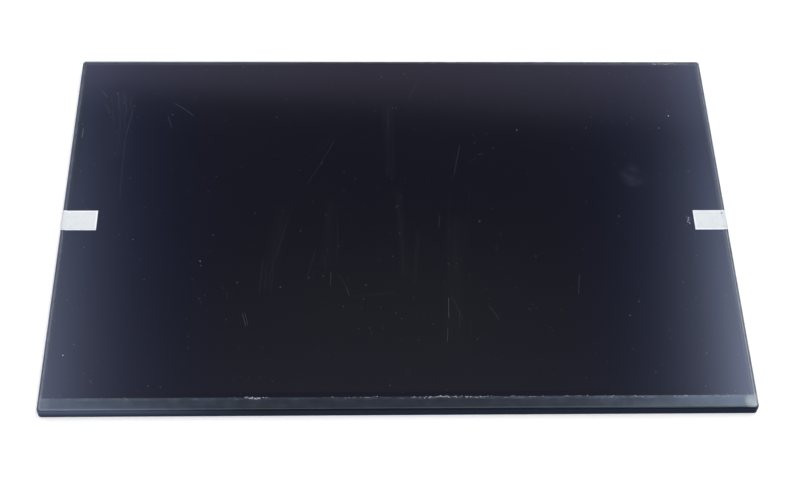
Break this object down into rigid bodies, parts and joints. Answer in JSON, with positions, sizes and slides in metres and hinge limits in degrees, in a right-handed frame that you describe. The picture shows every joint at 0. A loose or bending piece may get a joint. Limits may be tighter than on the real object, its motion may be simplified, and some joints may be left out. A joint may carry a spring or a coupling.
{
  "type": "laptop screen panel",
  "caption": "Bare laptop display module lying on its back: dark glossy screen in a thin black steel bezel, white tape tabs on both sides, edge light, driver board and connector behind.",
  "frame": {"origin": "middle of the back, on the plane that the module rests on", "axes": "+X along the picture's lower edge to its right, +Y from the lower edge to the upper edge, +Z out of the screen"},
  "size_m": [0.3444, 0.222, 0.0063],
  "materials": {
    "bezel_paint": "satin black paint on steel",
    "screen_face": "glossy dark polarizer, scuffed and dusty",
    "cell_glass": "thin clear glass",
    "polarizer_film": "dark satin film",
    "black_tape": "black adhesive tape",
    "frame_plastic": "black moulded plastic",
    "clear_sheet": "clear and hazy optical plastic",
    "white_sheet": "white reflective film",
    "plate_metal": "mill-finish sheet",
    "amber_film": "amber flexible film",
    "board_green": "green solder mask",
    "chip_black": "black epoxy",
    "steel": "plated steel",
    "contact_brass": "gold-flashed contacts",
    "part_ceramic": "tan ceramic",
    "connector_plastic": "natural moulded plastic",
    "lamp_white": "white lamp body",
    "tab_white": "white adhesive tape"
  },
  "bodies": {
    "root": {"front_bezel": "bezel_paint", "front_polarizer": "screen_face", "color_filter_glass": "cell_glass", "array_glass": "cell_glass", "rear_polarizer": "polarizer_film", "cell_tape": "black_tape", "main_frame": "frame_plastic", "top_diffuser": "clear_sheet", "upper_prism_sheet": "clear_sheet", "lower_prism_sheet": "clear_sheet", "bottom_diffuser": "clear_sheet", "light_guide": "clear_sheet", "reflector_sheet": "white_sheet", "led_strip": "amber_film", "leds": "lamp_white", "led_tape": "black_tape", "rear_plate": "plate_metal", "side_nuts": "steel", "source_films": "amber_film", "source_chips": "chip_black", "driver_board": "board_green", "board_tape": "black_tape", "timing_controller": "chip_black", "power_chip": "chip_black", "memory_chip": "chip_black", "inductors": "chip_black", "capacitors": "part_ceramic", "resistors": "chip_black", "led_connector": "connector_plastic", "led_connector_latch": "chip_black", "signal_housing": "connector_plastic", "signal_shell": "steel", "signal_contacts": "contact_brass", "ground_foils": "plate_metal", "board_cover": "black_tape", "left_tape_tab": "tab_white", "right_tape_tab": "tab_white"}
  },
  "joints": []
}
